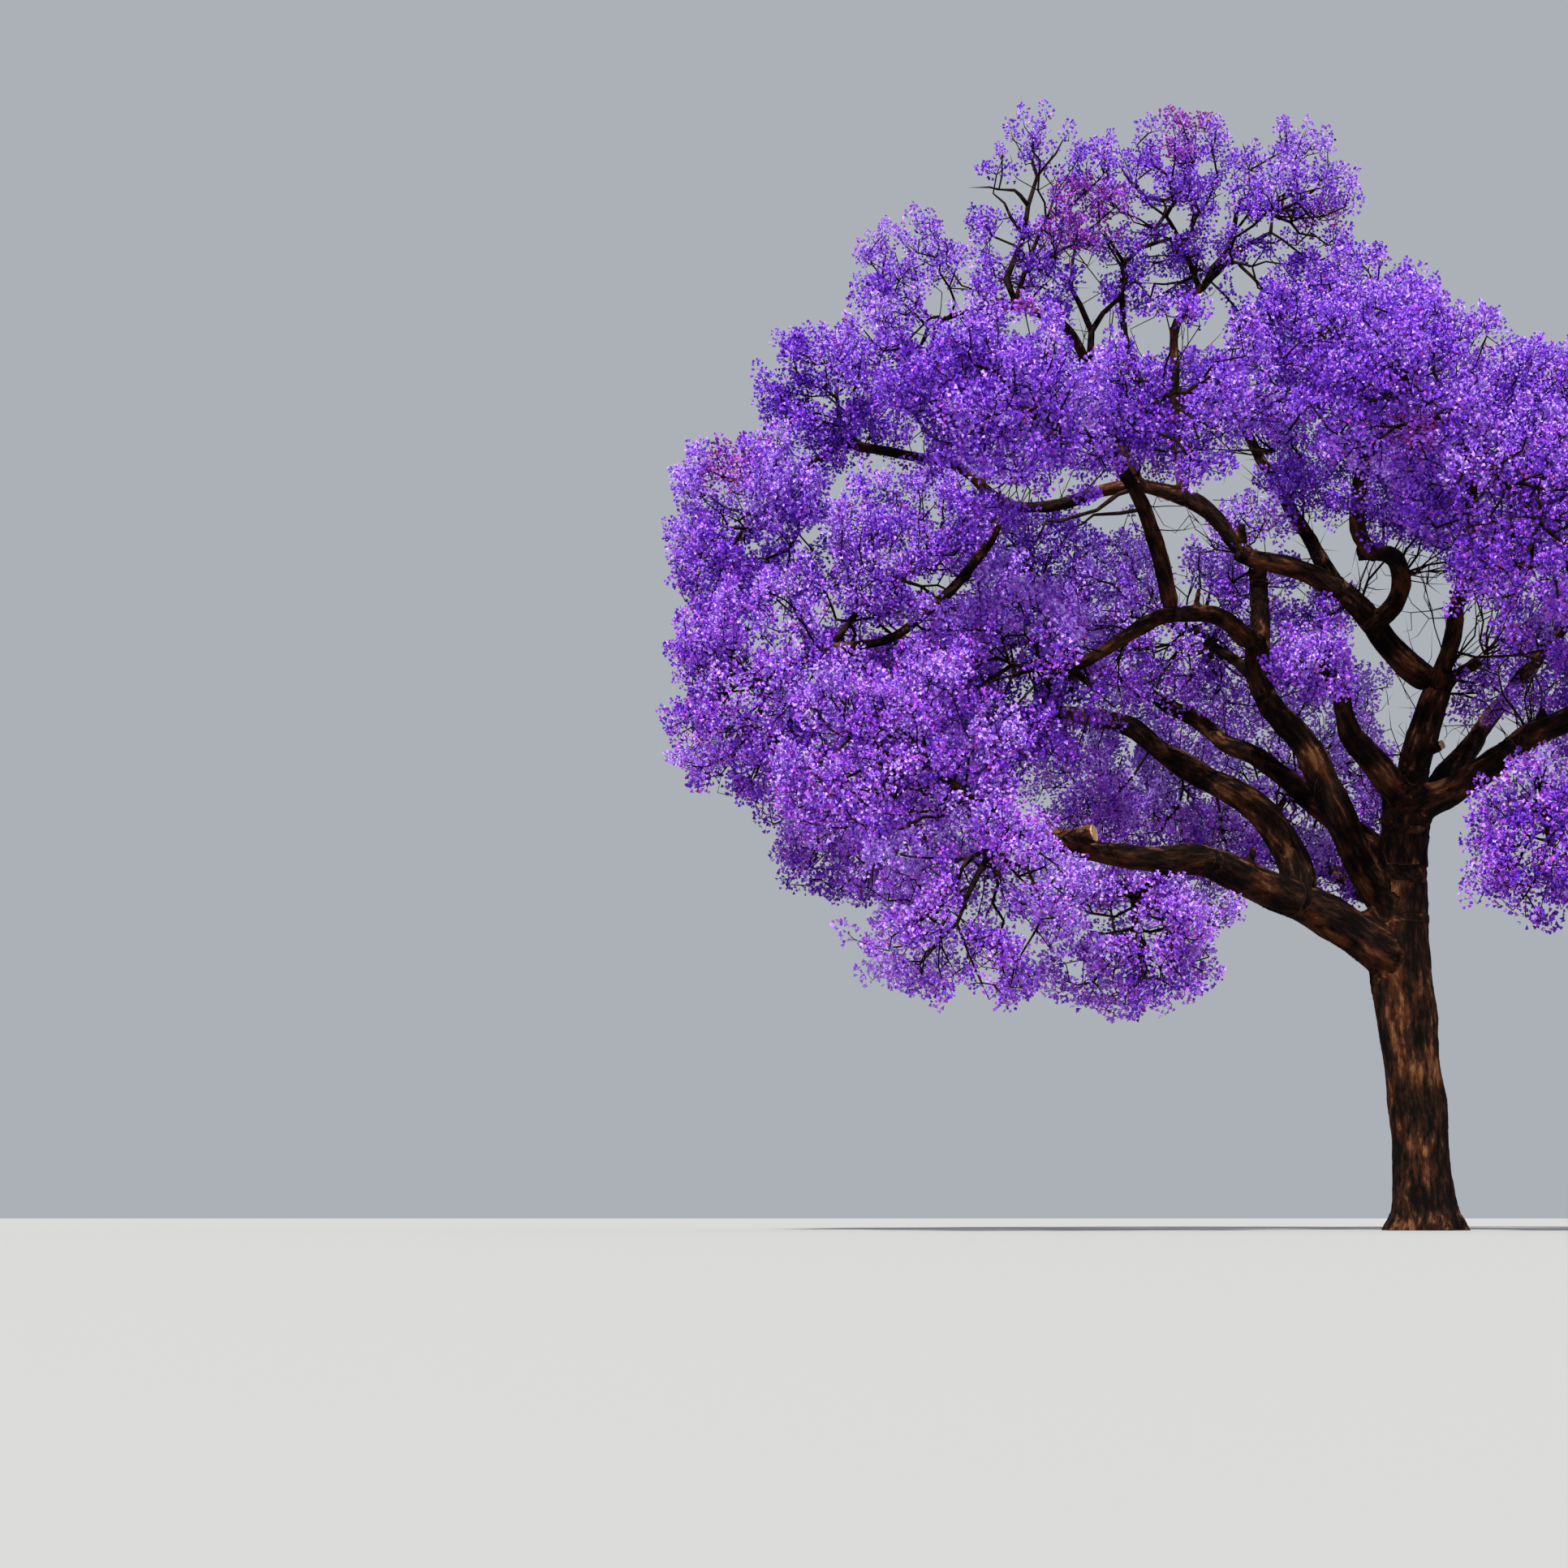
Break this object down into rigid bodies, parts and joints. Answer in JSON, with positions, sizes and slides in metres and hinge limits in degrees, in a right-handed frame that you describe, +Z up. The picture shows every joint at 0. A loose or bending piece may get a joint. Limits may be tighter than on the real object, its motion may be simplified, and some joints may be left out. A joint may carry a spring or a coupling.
{
  "type": "jacaranda tree",
  "caption": "Whole jacaranda tree in full bloom: leaning trunk, spreading boughs and open masses of purple blossom.",
  "frame": {"origin": "on the ground, in the middle of the flat cut under the trunk", "axes": "+Z up along the trunk, +X to the right as the picture shows the tree, +Y away from the viewer"},
  "size_m": [16.8248, 12.4276, 15.8058],
  "materials": {
    "bark": "rough furrowed bark",
    "blossom_lilac": "matte petals",
    "blossom_violet": "matte petals",
    "blossom_pale": "matte petals"
  },
  "bodies": {
    "root": {"trunk": "bark", "bough_low_left": "bark", "bough_low_shoot": "bark", "bough_rising_left": "bark", "bough_mid_left": "bark", "bough_level_left": "bark", "bough_climbing_left": "bark", "bough_inner_back": "bark", "bough_inner_left": "bark", "bough_upright": "bark", "bough_great_left": "bark", "bough_arched_left": "bark", "bough_far_left": "bark", "bough_falling_left": "bark", "bough_crown_lead": "bark", "bough_crown_left": "bark", "bough_hooked": "bark", "bough_right": "bark", "bough_right_high": "bark", "bough_right_far": "bark", "bough_right_low": "bark", "bough_back_left": "bark", "bough_back_low": "bark", "bough_back_right": "bark", "bough_back_high": "bark", "bough_front_lead": "bark", "blossom_lower_left": "blossom_lilac", "blossom_under_left": "blossom_violet", "blossom_left_front": "blossom_pale", "blossom_left_back": "blossom_lilac", "blossom_left_middle": "blossom_violet", "blossom_inner_back": "blossom_pale", "blossom_band_middle": "blossom_lilac", "blossom_band_left": "blossom_violet", "blossom_inner": "blossom_pale", "blossom_far_tuft": "blossom_lilac", "blossom_far_side": "blossom_violet", "blossom_falling_outer": "blossom_pale", "blossom_falling_inner": "blossom_lilac", "blossom_top_middle": "blossom_violet", "blossom_top_right": "blossom_pale", "blossom_top_left": "blossom_lilac", "blossom_upper_left": "blossom_violet", "blossom_right_shoulder": "blossom_pale", "blossom_right_upper": "blossom_lilac", "blossom_right_top": "blossom_violet", "blossom_right_round": "blossom_pale", "blossom_right_edge": "blossom_lilac", "blossom_right_skirt": "blossom_violet", "blossom_right_drooping": "blossom_pale", "blossom_back_left_side": "blossom_lilac", "blossom_back_left_top": "blossom_violet", "blossom_back_low_left": "blossom_pale", "blossom_back_low_right": "blossom_lilac", "blossom_back_right_top": "blossom_violet", "blossom_back_right_side": "blossom_pale", "blossom_back_crest": "blossom_lilac", "blossom_back_band": "blossom_violet", "blossom_front_crest": "blossom_pale", "blossom_front_side": "blossom_lilac"}
  },
  "joints": []
}
